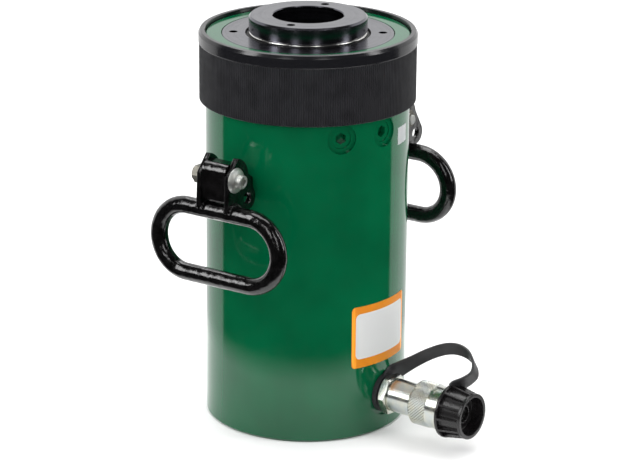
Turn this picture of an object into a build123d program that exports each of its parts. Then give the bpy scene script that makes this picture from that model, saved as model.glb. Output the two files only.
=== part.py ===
from build123d import *
import math
import os

# A single-acting hydraulic cylinder with a hollow plunger, retracted, standing on its base.
# The origin is the centre of the base face on the cylinder's axis, with +Z up. The hose
# coupler points along -Y, and the two lifting handles hang on -X and +X. All sizes are in mm.

# Cylinder body
body_radius = 79.4
bore_radius = 61.0
base_thickness = 26.0
base_chamfer = 2.0
collar_face_height = 310.0
collar_chamfer = 1.0
base_hole_inset = 14.4
base_hole_radius = 6.75
base_hole_depth = 19.0

# Gland ring screwed into the top of the body, which stops the plunger
gland_wall = 6.2
gland_height = 40.0
gland_chamfer = 0.8
gland_bearing_thickness = 2.9
gland_bearing_length = 20.0
gland_bearing_offset = 6.0
wiper_thickness = 4.6
wiper_height = 6.8
wiper_offset = 30.0
wiper_lip_thickness = 1.4
wiper_mouth_width = 2.4
gland_spanner_inset = 9.4
gland_spanner_angle = -52.4

# Centre tube through the whole cylinder
tube_radius = 33.35
tube_wall = 6.35
tube_top_drop = 28.0
tube_flange_reach = 3.65
tube_flange_thickness = 6.0
tube_seal_section = 2.6
tube_seal_height = 15.0

# Plunger, its piston head and the saddle on its top
plunger_radius = 46.0
stroke = 152.4
head_gap = 2.0
head_height = 42.0
head_chamfer = 8.0
head_top_chamfer = 1.0
saddle_thread_depth = 1.25
saddle_spigot_length = 25.4
saddle_thickness = 12.7
saddle_hole_clearance = 0.5
saddle_chamfer = 1.5
saddle_drop = 1.3
saddle_under_chamfer = 0.8
plunger_shoulder_radius = 1.2
saddle_spanner_circle_radius = 36.0
saddle_spanner_angle = 16.3
spanner_hole_radius = 3.3
spanner_hole_depth = 6.0
piston_seal_width = 8.0
piston_seal_depth = 5.0
piston_seal_offset = 14.0
wear_ring_width = 9.0
wear_ring_depth = 2.2
wear_ring_offset = 27.0
tube_lip_seal_width = 6.0
tube_lip_seal_depth = 4.0
tube_lip_seal_offset = 15.0

# Return spring in the space round the plunger
spring_wire_radius = 4.2
spring_turns = 5.0

# Thread protector over the collar thread
protector_drop = 52.5
protector_thickness = 5.0
protector_band_thickness = 5.5
protector_lip_thickness = 3.8
protector_band_height = 10.0
protector_lip_rise = 3.0
protector_band_chamfer = 2.4
protector_edge_chamfer = 0.8

# Plugs of the spring chamber, in flat recesses of the wall
plug_drop = 64.5
plug_angles = {"vent_plug": -94.5, "bleed_plug": -123.0}
plug_recess_radius = 11.5
plug_recess_depth = 2.6
plug_radius = 7.9
plug_length = 10.5
plug_sink = 0.8
plug_socket_width = 8.0
plug_socket_depth = 5.0
plug_passage_radius = 3.0

# Oil port and its flat seat
port_height = 31.0
port_seat_radius = 18.5
port_seat_sink = 1.8
port_radius = 8.5
port_depth = 13.0
port_passage_radius = 4.4

# Lifting handles: a bent bar loop under two ears, on a bolt through a lug of the body
pivot_reach = 29.2
pivot_drop = 91.2
handle_twist = 3.6
left_hang_angle = 1.6
right_hang_angle = 3.0
lug_width = 21.2
lug_face_reach = 7.6
lug_shoulder_height = 5.0
lug_crown_reach = 2.0
lug_crown_height = 11.5
lug_crown_end = 8.0
lug_root_drop = 6.0
lug_foot_drop = 18.0
lug_foot_chamfer = 2.0
ear_thickness = 4.0
ear_foot_reach = 9.3
ear_foot_drop = 24.0
ear_outer_reach = 8.6
ear_shoulder_height = 3.5
ear_tip_reach = 2.5
ear_tip_height = 16.4
ear_crown_reach = 13.4
ear_crown_height = 11.0
ear_round_reach = 17.6
ear_round_height = 2.0
ear_neck_angle = 30.0
ear_lobe_reach = 18.0
ear_lobe_drop = 18.0
ear_lobe_radius = 9.5
ear_hole_reach = 16.4
ear_hole_drop = 17.4
ear_hole_radius = 4.0
grip_bar_radius = 6.8
grip_drop = 27.1
grip_length = 111.5
grip_height = 53.3
bolt_radius = 4.0
bolt_flange_radius = 9.8
bolt_flange_thickness = 3.4
bolt_flange_rim = 1.2
bolt_hub_radius = 5.3
bolt_hub_foot = 6.3
bolt_hub_height = 4.4
bolt_socket_width = 5.0
bolt_socket_depth = 3.6
nut_width = 13.0
nut_height = 5.4
nut_collar_radius = 5.9
nut_collar_height = 1.2
bolt_end_reach = 1.5

# Quick coupler screwed into the port
coupler_hex_width = 28.6
coupler_hex_offset = 5.3
coupler_hex_length = 6.4
coupler_hex_chamfer = 1.2
coupler_groove_radius = 12.4
coupler_groove_length = 1.4
coupler_barrel_radius = 13.3
coupler_barrel_length = 34.4
coupler_nose_radius = 11.6
coupler_nose_length = 28.0
coupler_mouth_radius = 8.0
coupler_mouth_depth = 20.0
coupler_passage_radius = 3.2
coupler_valve_radius = 6.0
coupler_valve_length = 24.0
sleeve_radius = 17.6
sleeve_length = 36.2
sleeve_lip_length = 6.0
sleeve_inner_radius = 14.4
sleeve_chamfer = 1.6
sleeve_front_step_radius = 17.0
sleeve_front_step = 19.5
snap_ring_thickness = 1.5
snap_ring_radius = 13.8
snap_ring_groove = 0.8
poppet_radius = 5.2
poppet_nose_radius = 2.4
poppet_nose_length = 5.0
poppet_head_length = 5.0
valve_spring_wire_radius = 0.6
valve_spring_turns = 5.0

# Moulded dust cap with its tether
cap_mouth_gap = 1.0
cap_rim_radius = 21.4
cap_rim_length = 2.4
cap_core_rear_radius = 19.2
cap_core_front_radius = 16.9
cap_front_radius = 18.1
cap_front_length = 2.6
cap_length = 21.6
cap_wall_offset = 8.0
cap_wall_thickness = 2.4
cap_recess_radius = 15.2
cap_plug_radius = 7.7
cap_plug_length = 12.0
cap_plug_wall = 1.6
cap_boss_radius = 8.4
cap_boss_length = 6.0
cap_rib_count = 12
cap_rib_width = 2.6
cap_rib_root = 0.8
strap_ring_radius = 15.6
strap_ring_thickness = 3.6
strap_ring_hole_gap = 0.6
strap_width = 9.6
strap_thickness = 2.0
strap_lean_angle = 33.5
strap_peak_rise = 30.1
strap_peak_setback = 9.0
strap_bow_rise = 15.1
strap_bow_reach = 10.0
strap_rise_height = 22.4
strap_rise_reach = 23.6

# Clearances
running_gap = 0.05
sliding_gap = 0.3
seat_gap = 0.05
free_gap = 0.3

# Places that follow from the sizes above
base_hole_circle_radius = body_radius - base_hole_inset
gland_radius = bore_radius + gland_wall
gland_spanner_circle_radius = gland_radius - gland_spanner_inset
tube_height = collar_face_height - tube_top_drop
tube_flange_radius = tube_radius + tube_flange_reach
center_hole_radius = tube_radius - tube_wall
saddle_hole_radius = center_hole_radius + saddle_hole_clearance
plug_height = collar_face_height - plug_drop
protector_bottom_height = collar_face_height - protector_drop
protector_radius = body_radius + protector_thickness
protector_band_radius = body_radius + protector_band_thickness
protector_lip_radius = body_radius + protector_lip_thickness
pivot_distance = body_radius + pivot_reach
pivot_height = collar_face_height - pivot_drop
port_seat_distance = body_radius - port_seat_sink
coupler_hex_start = port_seat_distance + coupler_hex_offset
coupler_barrel_end = port_seat_distance + coupler_barrel_length
coupler_nose_end = coupler_barrel_end + coupler_nose_length
sleeve_end = coupler_barrel_end + free_gap + sleeve_length
cap_start = coupler_nose_end + cap_mouth_gap
cap_wall_start = cap_start + cap_wall_offset
gland_bottom_height = collar_face_height - gland_height
head_bottom_height = base_thickness + head_gap
head_top_height = head_bottom_height + head_height
plunger_top_height = collar_face_height + saddle_drop
collapsed_height = plunger_top_height + saddle_thickness
gland_bore_radius = plunger_radius + sliding_gap
plunger_bore_radius = tube_radius + sliding_gap
saddle_spigot_radius = plunger_bore_radius + saddle_thread_depth
protector_bore_radius = body_radius + sliding_gap
head_radius = bore_radius - sliding_gap
hex_circumradius = 1 / math.cos(math.pi / 6) / 2

# The coupler's axis leaves the body along -Y. Its profiles are drawn with x as the distance
# from the cylinder's axis and y as the radius from the coupler's axis.
coupler_profile = Plane(origin=(0, 0, port_height), x_dir=(0, -1, 0), z_dir=(-1, 0, 0))
coupler_axis = Axis((0, 0, port_height), (0, -1, 0))

pieces = []


def coupler_plane(distance):
    """A plane across the coupler's axis at this distance, with +Z of the object as its y."""
    return Plane(origin=(0, -distance, port_height), x_dir=(1, 0, 0), z_dir=(0, -1, 0))


def keep(name, builder):
    """Label a finished piece and remember it for the export."""
    builder.part.label = name
    pieces.append(builder.part)


def turned_ring(inner_radius, outer_radius, bottom, top):
    """A plain ring round the cylinder's axis between two heights."""
    with BuildPart() as ring:
        with BuildSketch(Plane.XY.offset(bottom)):
            Circle(outer_radius)
            Circle(inner_radius, mode=Mode.SUBTRACT)
        extrude(amount=top - bottom)
    return ring


def coil(middle_radius, wire_radius, turns, length, base_plane):
    """An open coil spring that stands on a plane, its wire's ends inside the length."""
    with BuildPart() as spring:
        with BuildLine():
            path = Helix(
                pitch=(length - 2 * wire_radius) / turns,
                height=length - 2 * wire_radius,
                radius=middle_radius,
                center=(base_plane.offset(wire_radius)).origin,
                direction=base_plane.z_dir,
            )
        with BuildSketch(Plane(origin=path @ 0, z_dir=path % 0)):
            Circle(wire_radius)
        sweep(path=path, is_frenet=True)
    return spring


# Cylinder body: a cup turned from one billet, with the collar thread's land at its top
with BuildPart() as cylinder_body:
    with BuildSketch():
        Circle(body_radius)
    extrude(amount=collar_face_height)
    chamfer(cylinder_body.edges().group_by(Axis.Z)[0], base_chamfer)
    chamfer(cylinder_body.edges().group_by(Axis.Z)[-1], collar_chamfer)
    with BuildSketch(Plane.XY.offset(collar_face_height)):
        Circle(bore_radius)
    extrude(amount=base_thickness - collar_face_height, mode=Mode.SUBTRACT)
    with BuildSketch(Plane.XY.offset(collar_face_height)):
        Circle(gland_radius + seat_gap)
    extrude(amount=-gland_height, mode=Mode.SUBTRACT)
    with BuildSketch():
        Circle(tube_radius + seat_gap)
    extrude(amount=base_thickness, mode=Mode.SUBTRACT)
    with BuildSketch():
        Circle(tube_flange_radius + seat_gap)
    extrude(amount=tube_flange_thickness, mode=Mode.SUBTRACT)
    with BuildSketch():
        with PolarLocations(base_hole_circle_radius, 2):
            Circle(base_hole_radius)
    extrude(amount=base_hole_depth, mode=Mode.SUBTRACT)
    with BuildSketch(coupler_plane(body_radius)):
        Circle(port_seat_radius)
    extrude(amount=port_seat_distance - body_radius, mode=Mode.SUBTRACT)
    with BuildSketch(coupler_plane(port_seat_distance)):
        Circle(port_radius + seat_gap)
    extrude(amount=-port_depth, mode=Mode.SUBTRACT)
    with BuildSketch(coupler_plane(port_seat_distance)):
        Circle(port_passage_radius)
    extrude(amount=bore_radius - port_seat_distance - port_passage_radius, mode=Mode.SUBTRACT)
    for angle in plug_angles.values():
        wall_plane = Plane(
            origin=Vector(body_radius, 0, plug_height).rotate(Axis.Z, angle),
            x_dir=(0, 0, 1),
            z_dir=Vector(1, 0, 0).rotate(Axis.Z, angle),
        )
        with BuildSketch(wall_plane):
            Circle(plug_recess_radius)
        extrude(amount=-plug_recess_depth, mode=Mode.SUBTRACT)
        with BuildSketch(wall_plane):
            Circle(plug_radius + seat_gap)
        extrude(amount=-plug_recess_depth - plug_length - free_gap, mode=Mode.SUBTRACT)
        with BuildSketch(wall_plane):
            Circle(plug_passage_radius)
        extrude(amount=bore_radius - body_radius - plug_passage_radius, mode=Mode.SUBTRACT)
keep("cylinder_body", cylinder_body)

# Centre tube, flanged into the underside of the base
with BuildPart() as center_tube:
    with BuildSketch():
        Circle(tube_flange_radius)
    extrude(amount=tube_flange_thickness)
    with BuildSketch():
        Circle(tube_radius)
    extrude(amount=tube_height)
    with BuildSketch():
        Circle(center_hole_radius)
    extrude(amount=tube_height, mode=Mode.SUBTRACT)
    with BuildSketch(Plane.XY.offset(tube_seal_height)):
        Circle(tube_radius)
        Circle(tube_radius - tube_seal_section, mode=Mode.SUBTRACT)
    extrude(amount=tube_seal_section, mode=Mode.SUBTRACT)
keep("center_tube", center_tube)
keep(
    "center_tube_seal",
    turned_ring(
        tube_radius - tube_seal_section + seat_gap,
        tube_radius,
        tube_seal_height + seat_gap,
        tube_seal_height + tube_seal_section - seat_gap,
    ),
)

# Plunger: the chromed tube and its piston head in one piece
with BuildPart() as plunger:
    with BuildSketch(Plane.XY.offset(head_bottom_height)):
        Circle(head_radius)
    extrude(amount=head_height)
    chamfer(plunger.edges().group_by(Axis.Z)[0], head_chamfer)
    chamfer(plunger.edges().group_by(Axis.Z)[-1], head_top_chamfer)
    with BuildSketch(Plane.XY.offset(head_top_height)):
        Circle(plunger_radius)
    extrude(amount=plunger_top_height - head_top_height)
    fillet(plunger.edges().group_by(Axis.Z)[-1], plunger_shoulder_radius)
    with BuildSketch(Plane.XY.offset(head_bottom_height)):
        Circle(plunger_bore_radius)
    extrude(amount=plunger_top_height - head_bottom_height, mode=Mode.SUBTRACT)
    with BuildSketch(Plane.XY.offset(plunger_top_height)):
        Circle(saddle_spigot_radius + seat_gap)
    extrude(amount=-saddle_spigot_length - free_gap, mode=Mode.SUBTRACT)
    for groove_offset, width, depth in (
        (piston_seal_offset, piston_seal_width, piston_seal_depth),
        (wear_ring_offset, wear_ring_width, wear_ring_depth),
    ):
        with BuildSketch(Plane.XY.offset(head_bottom_height + groove_offset)):
            Circle(head_radius)
            Circle(head_radius - depth, mode=Mode.SUBTRACT)
        extrude(amount=width, mode=Mode.SUBTRACT)
    with BuildSketch(Plane.XY.offset(head_bottom_height + tube_lip_seal_offset)):
        Circle(plunger_bore_radius + tube_lip_seal_depth)
        Circle(plunger_bore_radius, mode=Mode.SUBTRACT)
    extrude(amount=tube_lip_seal_width, mode=Mode.SUBTRACT)
keep("plunger", plunger)
for name, groove_offset, width, depth in (
    ("piston_seal", piston_seal_offset, piston_seal_width, piston_seal_depth),
    ("piston_wear_ring", wear_ring_offset, wear_ring_width, wear_ring_depth),
):
    ring_bottom = head_bottom_height + groove_offset + seat_gap
    keep(
        name,
        turned_ring(
            head_radius - depth + seat_gap,
            bore_radius - running_gap,
            ring_bottom,
            ring_bottom + width - 2 * seat_gap,
        ),
    )
tube_lip_seal_bottom = head_bottom_height + tube_lip_seal_offset + seat_gap
keep(
    "tube_lip_seal",
    turned_ring(
        tube_radius + running_gap,
        plunger_bore_radius + tube_lip_seal_depth - seat_gap,
        tube_lip_seal_bottom,
        tube_lip_seal_bottom + tube_lip_seal_width - 2 * seat_gap,
    ),
)

# Saddle: a hardened disc screwed into the plunger's mouth
with BuildPart() as saddle:
    with BuildSketch(Plane.XY.offset(plunger_top_height)):
        Circle(plunger_radius)
    extrude(amount=saddle_thickness)
    chamfer(saddle.edges().group_by(Axis.Z)[-1], saddle_chamfer)
    chamfer(saddle.edges().group_by(Axis.Z)[0], saddle_under_chamfer)
    with BuildSketch(Plane.XY.offset(plunger_top_height)):
        Circle(saddle_spigot_radius)
    extrude(amount=-saddle_spigot_length)
    with BuildSketch(Plane.XY.offset(collapsed_height)):
        Circle(saddle_hole_radius)
    extrude(amount=-saddle_thickness - saddle_spigot_length, mode=Mode.SUBTRACT)
    chamfer(
        saddle.edges().filter_by(GeomType.CIRCLE).group_by(Axis.Z)[-1].sort_by(SortBy.RADIUS)[0],
        saddle_chamfer / 2,
    )
    with BuildSketch(Plane.XY.offset(collapsed_height)):
        with PolarLocations(saddle_spanner_circle_radius, 2, start_angle=saddle_spanner_angle):
            Circle(spanner_hole_radius)
    extrude(amount=-spanner_hole_depth, mode=Mode.SUBTRACT)
keep("saddle", saddle)

# Gland ring with its bearing and wiper grooves
with BuildPart() as gland_ring:
    with BuildSketch(Plane.XY.offset(gland_bottom_height)):
        Circle(gland_radius)
    extrude(amount=gland_height)
    chamfer(gland_ring.edges().group_by(Axis.Z)[-1], gland_chamfer)
    with BuildSketch(Plane.XY.offset(gland_bottom_height)):
        Circle(gland_bore_radius)
    extrude(amount=gland_height, mode=Mode.SUBTRACT)
    for groove_offset, depth, width in (
        (gland_bearing_offset, gland_bearing_thickness, gland_bearing_length),
        (wiper_offset, wiper_thickness, wiper_height),
        (wiper_offset + wiper_height, wiper_mouth_width, gland_height - wiper_offset - wiper_height),
    ):
        with BuildSketch(Plane.XY.offset(gland_bottom_height + groove_offset)):
            Circle(gland_bore_radius + depth)
        extrude(amount=width, mode=Mode.SUBTRACT)
    with BuildSketch(Plane.XY.offset(collar_face_height)):
        with PolarLocations(gland_spanner_circle_radius, 2, start_angle=gland_spanner_angle):
            Circle(spanner_hole_radius)
    extrude(amount=-spanner_hole_depth, mode=Mode.SUBTRACT)
keep("gland_ring", gland_ring)
bearing_bottom = gland_bottom_height + gland_bearing_offset + seat_gap
keep(
    "gland_bearing",
    turned_ring(
        plunger_radius + running_gap,
        gland_bore_radius + gland_bearing_thickness - seat_gap,
        bearing_bottom,
        bearing_bottom + gland_bearing_length - 2 * seat_gap,
    ),
)

# Rod wiper: a ring in its groove with a thin lip that stands up round the plunger
with BuildPart() as rod_wiper:
    wiper_bottom = gland_bottom_height + wiper_offset + seat_gap
    with BuildSketch(Plane.XY.offset(wiper_bottom)):
        Circle(gland_bore_radius + wiper_thickness - seat_gap)
        Circle(plunger_radius + running_gap, mode=Mode.SUBTRACT)
    extrude(amount=wiper_height - 2 * seat_gap)
    with BuildSketch(Plane.XY.offset(wiper_bottom)):
        Circle(plunger_radius + wiper_lip_thickness)
        Circle(plunger_radius + running_gap, mode=Mode.SUBTRACT)
    extrude(amount=gland_height - wiper_offset - seat_gap - saddle_drop)
keep("rod_wiper", rod_wiper)

# Return spring between the piston head and the gland ring
keep(
    "return_spring",
    coil(
        (plunger_radius + bore_radius) / 2,
        spring_wire_radius,
        spring_turns,
        gland_bottom_height - head_top_height - 2 * free_gap,
        Plane.XY.offset(head_top_height + free_gap),
    ),
)

# Thread protector: a sleeve over the collar, with a smooth band and a lip at its top
protector_top_height = collar_face_height + protector_lip_rise
with BuildPart() as thread_protector:
    with BuildSketch(Plane.XZ):
        with BuildLine():
            Polyline(
                (protector_bore_radius, protector_bottom_height),
                (protector_radius - protector_edge_chamfer, protector_bottom_height),
                (protector_radius, protector_bottom_height + protector_edge_chamfer),
                (protector_radius, protector_top_height - protector_band_height),
                (protector_band_radius, protector_top_height - protector_band_height),
                (protector_band_radius, protector_top_height - protector_band_chamfer),
                (protector_lip_radius, protector_top_height),
                (protector_bore_radius, protector_top_height),
                close=True,
            )
        make_face()
    revolve(axis=Axis.Z)
keep("thread_protector", thread_protector)

# Socket plugs of the spring chamber
for name, angle in plug_angles.items():
    plug_face_distance = body_radius - plug_recess_depth - plug_sink
    plug_plane = Plane(
        origin=Vector(plug_face_distance, 0, plug_height).rotate(Axis.Z, angle),
        x_dir=(0, 0, 1),
        z_dir=Vector(1, 0, 0).rotate(Axis.Z, angle),
    )
    with BuildPart() as plug:
        with BuildSketch(plug_plane):
            Circle(plug_radius)
        extrude(amount=plug_sink - plug_length)
        with BuildSketch(plug_plane):
            RegularPolygon(plug_socket_width / 2, 6, major_radius=False)
        extrude(amount=-plug_socket_depth, mode=Mode.SUBTRACT)
    keep(name, plug)

# Lifting handles. Both hang the same way round, with their ears' lobes towards +X.
ear_inner_face = lug_width / 2 + sliding_gap
ear_outer_face = ear_inner_face + ear_thickness
neck_angle = math.radians(ear_neck_angle)
handle_x = Vector(1, 0, 0).rotate(Axis.Z, handle_twist)
handle_z = Vector(0, -1, 0).rotate(Axis.Z, handle_twist)
handle_hinge = Axis((0, 0, 0), -handle_z)
for side, inward, hang, bolt_side in (
    ("left", 1, left_hang_angle, 1),
    ("right", -1, -right_hang_angle, -1),
):
    # Lug on the body: a block with a rounded crown that slopes down to its welded root
    pivot = Vector(-inward * pivot_distance, 0, pivot_height)
    lug_plane = Plane(origin=pivot, x_dir=handle_x, z_dir=handle_z)
    lug_root = inward * (pivot_distance - body_radius / 2)
    with BuildPart() as lug:
        with BuildSketch(lug_plane):
            with BuildLine():
                face = Line(
                    (-inward * lug_face_reach, lug_foot_chamfer - lug_foot_drop),
                    (-inward * lug_face_reach, lug_shoulder_height),
                )
                crown = TangentArc(face @ 1, (inward * lug_crown_reach, lug_crown_height), tangent=face % 1)
                top = Line(crown @ 1, (inward * lug_crown_end, lug_crown_height))
                slope = Line(top @ 1, (inward * pivot_reach, -lug_root_drop))
                root = Line(slope @ 1, (lug_root, -lug_root_drop))
                back = Line(root @ 1, (lug_root, -lug_foot_drop))
                foot = Line(back @ 1, (inward * (lug_foot_chamfer - lug_face_reach), -lug_foot_drop))
                Line(foot @ 1, face @ 0)
            make_face()
            Circle(bolt_radius + running_gap, mode=Mode.SUBTRACT)
        extrude(amount=lug_width / 2, both=True)
        with BuildSketch(Plane.XY):
            Circle(body_radius)
        extrude(amount=collar_face_height, mode=Mode.SUBTRACT)
    keep(f"{side}_handle_lug", lug)

    # Everything that swings is drawn on the hanging plane through the pivot
    swing_plane = Plane(origin=pivot, x_dir=handle_x.rotate(handle_hinge, hang), z_dir=handle_z)
    bar_center = swing_plane.from_local_coords((0, -grip_drop, 0))
    for place, direction in (("front", 1), ("rear", -1)):
        with BuildPart() as ear:
            with BuildSketch(swing_plane.offset(direction * ear_inner_face)):
                with BuildLine():
                    outer_side = Line((-ear_foot_reach, -ear_foot_drop), (-ear_outer_reach, ear_shoulder_height))
                    lean = Line(outer_side @ 1, (ear_tip_reach, ear_tip_height))
                    ear_crown = ThreePointArc(
                        lean @ 1,
                        (ear_crown_reach, ear_crown_height),
                        (ear_round_reach, ear_round_height),
                    )
                    neck = Line(
                        ear_crown @ 1,
                        (
                            ear_lobe_reach + ear_lobe_radius * math.cos(neck_angle),
                            ear_lobe_radius * math.sin(neck_angle) - ear_lobe_drop,
                        ),
                    )
                    toe = Line(neck @ 1, (ear_lobe_reach, -ear_lobe_drop - ear_lobe_radius))
                    sole = Line(toe @ 1, (0, -grip_drop))
                    Line(sole @ 1, outer_side @ 0)
                make_face()
                with Locations((ear_lobe_reach, -ear_lobe_drop)):
                    Circle(ear_lobe_radius)
                with Locations((ear_hole_reach, -ear_hole_drop)):
                    Circle(ear_hole_radius, mode=Mode.SUBTRACT)
                Circle(bolt_radius + running_gap, mode=Mode.SUBTRACT)
                with Locations((0, -grip_drop)):
                    Circle(grip_bar_radius, mode=Mode.SUBTRACT)
            extrude(amount=direction * ear_thickness)
        keep(f"{side}_handle_{place}_ear", ear)

    # Grip: one round bar bent into a closed loop below the ears
    end_radius = grip_height / 2
    straight_half = grip_length / 2 - end_radius
    grip_plane = Plane(origin=bar_center, x_dir=-handle_z, z_dir=swing_plane.x_dir)
    with BuildPart() as grip:
        with BuildLine(grip_plane):
            top_bar = Line((straight_half, 0), (-straight_half, 0))
            near_end = ThreePointArc(
                top_bar @ 1,
                (-straight_half - end_radius, -end_radius),
                (-straight_half, -grip_height),
            )
            low_bar = Line(near_end @ 1, (straight_half, -grip_height))
            ThreePointArc(low_bar @ 1, (straight_half + end_radius, -end_radius), top_bar @ 0)
        with BuildSketch(Plane(origin=top_bar @ 0, z_dir=top_bar % 0)):
            Circle(grip_bar_radius)
        sweep()
    keep(f"{side}_handle_grip", grip)

    # Flanged socket bolt. Its head faces the coupler on the left handle and away on the right.
    head_plane = swing_plane.offset(bolt_side * ear_outer_face)
    head_height_total = bolt_flange_thickness + bolt_hub_height
    shank_length = 2 * ear_outer_face + nut_height + nut_collar_height + bolt_end_reach
    with BuildPart() as bolt:
        with BuildSketch(head_plane):
            Circle(bolt_flange_radius)
        extrude(amount=bolt_side * bolt_flange_rim)
        with BuildSketch(head_plane.offset(bolt_side * bolt_flange_rim)):
            Circle(bolt_flange_radius)
        with BuildSketch(head_plane.offset(bolt_side * bolt_flange_thickness)):
            Circle(bolt_hub_foot)
        loft()
        with BuildSketch(head_plane):
            Circle(bolt_hub_radius)
        extrude(amount=bolt_side * head_height_total)
        with BuildSketch(head_plane.offset(bolt_side * head_height_total)):
            RegularPolygon(bolt_socket_width / 2, 6, major_radius=False)
        extrude(amount=-bolt_side * bolt_socket_depth, mode=Mode.SUBTRACT)
        with BuildSketch(head_plane):
            Circle(bolt_radius)
        extrude(amount=-bolt_side * shank_length)
    keep(f"{side}_handle_bolt", bolt)

    # Lock nut on the bolt's other end
    nut_plane = swing_plane.offset(-bolt_side * ear_outer_face)
    with BuildPart() as nut:
        with BuildSketch(nut_plane):
            RegularPolygon(nut_width / 2, 6, major_radius=False)
        extrude(amount=-bolt_side * nut_height)
        with BuildSketch(nut_plane):
            Circle(nut_collar_radius)
        extrude(amount=-bolt_side * (nut_height + nut_collar_height))
        with BuildSketch(nut_plane):
            Circle(bolt_radius + seat_gap)
        extrude(amount=-bolt_side * (nut_height + nut_collar_height), mode=Mode.SUBTRACT)
    keep(f"{side}_handle_nut", nut)

# Coupler body: threaded stem, wrench hex, barrel and the nose that carries the sleeve
coupler_hex_end = coupler_hex_start + coupler_hex_length
valve_start = coupler_nose_end - coupler_mouth_depth - coupler_valve_length
ring_groove_start = coupler_barrel_end + free_gap + sleeve_lip_length + seat_gap
with BuildPart() as coupler_body:
    with BuildSketch(coupler_plane(coupler_hex_start)):
        RegularPolygon(coupler_hex_width / 2, 6, major_radius=False)
    extrude(amount=coupler_hex_length)
    with BuildSketch(coupler_profile):
        with BuildLine():
            Polyline(
                (coupler_hex_start, 0),
                (coupler_hex_end, 0),
                (coupler_hex_end, coupler_hex_width / 2),
                (coupler_hex_end - coupler_hex_chamfer, coupler_hex_width * hex_circumradius),
                (coupler_hex_start + coupler_hex_chamfer, coupler_hex_width * hex_circumradius),
                (coupler_hex_start, coupler_hex_width / 2),
                close=True,
            )
        make_face()
    revolve(axis=coupler_axis, mode=Mode.INTERSECT)
    with BuildSketch(coupler_profile):
        with BuildLine():
            Polyline(
                (port_seat_distance - port_depth + free_gap, 0),
                (port_seat_distance - port_depth + free_gap, port_radius),
                (coupler_hex_end, port_radius),
                (coupler_hex_end, coupler_groove_radius),
                (coupler_hex_end + coupler_groove_length, coupler_groove_radius),
                (coupler_hex_end + coupler_groove_length, coupler_barrel_radius),
                (coupler_barrel_end, coupler_barrel_radius),
                (coupler_barrel_end, coupler_nose_radius),
                (ring_groove_start, coupler_nose_radius),
                (ring_groove_start, coupler_nose_radius - snap_ring_groove),
                (ring_groove_start + snap_ring_thickness, coupler_nose_radius - snap_ring_groove),
                (ring_groove_start + snap_ring_thickness, coupler_nose_radius),
                (coupler_nose_end, coupler_nose_radius),
                (coupler_nose_end, 0),
                close=True,
            )
        make_face()
    revolve(axis=coupler_axis)
    for start, end, radius in (
        (port_seat_distance - port_depth, coupler_nose_end, coupler_passage_radius),
        (valve_start, coupler_nose_end, coupler_valve_radius),
        (coupler_nose_end - coupler_mouth_depth, coupler_nose_end, coupler_mouth_radius),
    ):
        with BuildSketch(coupler_plane(start)):
            Circle(radius)
        extrude(amount=end - start, mode=Mode.SUBTRACT)
keep("coupler_body", coupler_body)

# Poppet and spring of the coupler's check valve
poppet_back = coupler_nose_end - coupler_mouth_depth - poppet_head_length
with BuildPart() as coupler_poppet:
    with BuildSketch(coupler_plane(poppet_back)):
        Circle(poppet_radius)
    extrude(amount=poppet_head_length)
    with BuildSketch(coupler_plane(poppet_back)):
        Circle(poppet_nose_radius)
    extrude(amount=poppet_head_length + poppet_nose_length)
keep("coupler_poppet", coupler_poppet)
keep(
    "coupler_valve_spring",
    coil(
        (poppet_nose_radius + poppet_radius) / 2,
        valve_spring_wire_radius,
        valve_spring_turns,
        poppet_back - valve_start - 2 * free_gap,
        coupler_plane(valve_start + free_gap),
    ),
)

# Knurled sleeve, held on the coupler's nose by a snap ring
sleeve_start = coupler_barrel_end + free_gap
with BuildPart() as coupler_sleeve:
    with BuildSketch(coupler_profile):
        with BuildLine():
            Polyline(
                (sleeve_start, coupler_nose_radius + running_gap),
                (sleeve_start, sleeve_radius - sleeve_chamfer),
                (sleeve_start + sleeve_chamfer, sleeve_radius),
                (sleeve_end - sleeve_front_step, sleeve_radius),
                (sleeve_end - sleeve_front_step, sleeve_front_step_radius),
                (sleeve_end, sleeve_front_step_radius),
                (sleeve_end, sleeve_inner_radius),
                (sleeve_start + sleeve_lip_length, sleeve_inner_radius),
                (sleeve_start + sleeve_lip_length, coupler_nose_radius + running_gap),
                close=True,
            )
        make_face()
    revolve(axis=coupler_axis)
keep("coupler_sleeve", coupler_sleeve)
with BuildPart() as sleeve_snap_ring:
    with BuildSketch(coupler_plane(ring_groove_start)):
        Circle(snap_ring_radius)
        Circle(coupler_nose_radius - snap_ring_groove + seat_gap, mode=Mode.SUBTRACT)
    extrude(amount=snap_ring_thickness - seat_gap)
keep("sleeve_snap_ring", sleeve_snap_ring)

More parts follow.
